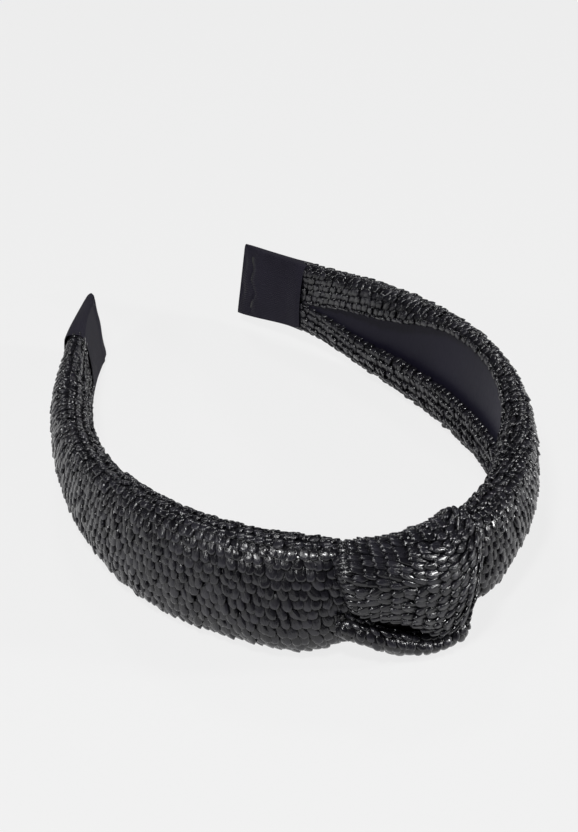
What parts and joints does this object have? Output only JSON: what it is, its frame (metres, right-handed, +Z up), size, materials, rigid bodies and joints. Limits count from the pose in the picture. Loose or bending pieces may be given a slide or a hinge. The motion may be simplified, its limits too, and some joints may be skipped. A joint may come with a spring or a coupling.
{
  "type": "knotted headband",
  "caption": "Wide hair band of black plaited straw folded over a sprung hoop, knotted at the crown, lined with dark satin, with folded ribbon tips.",
  "frame": {"origin": "middle of the underside of the whole band as it lies on its lower edge", "axes": "+X across the head, +Y from the knot towards the two tips, +Z up the width of the strap"},
  "size_m": [0.1228, 0.1678, 0.037],
  "materials": {
    "hoop_plastic": "matt moulded plastic",
    "satin_lining": "smooth satin, midnight navy",
    "wadding": "thin felt wadding",
    "straw": "plaited paper straw, black, half gloss",
    "ribbon_cloth": "ribbed ribbon, black navy, soft sheen"
  },
  "bodies": {
    "crown": {"hoop_crown": "hoop_plastic", "lining_crown": "satin_lining", "knot_core": "straw", "knot_inner_fold": "straw", "knot_wrap": "straw", "knot_lobe": "straw"},
    "left_arm": {"hoop_left": "hoop_plastic", "lining_left": "satin_lining", "padding_left": "wadding", "straw_outer_left": "straw", "straw_upper_hem_left": "straw", "straw_lower_hem_left": "straw", "ribbon_left": "ribbon_cloth"},
    "right_arm": {"hoop_right": "hoop_plastic", "lining_right": "satin_lining", "padding_right": "wadding", "straw_outer_right": "straw", "straw_upper_hem_right": "straw", "straw_lower_hem_right": "straw", "ribbon_right": "ribbon_cloth"}
  },
  "joints": [
    {"name": "left_flex", "type": "hinge", "parent": "crown", "child": "left_arm", "pos_m": [-0.01947, -0.06682, 0.018], "axis": [0, 0, 1], "range_deg": [-3, 14], "stiffness_Nm_per_rad": 1.2},
    {"name": "right_flex", "type": "hinge", "parent": "crown", "child": "right_arm", "pos_m": [0.01938, -0.06682, 0.018], "axis": [0, 0, -1], "range_deg": [-3, 14], "stiffness_Nm_per_rad": 1.2}
  ]
}
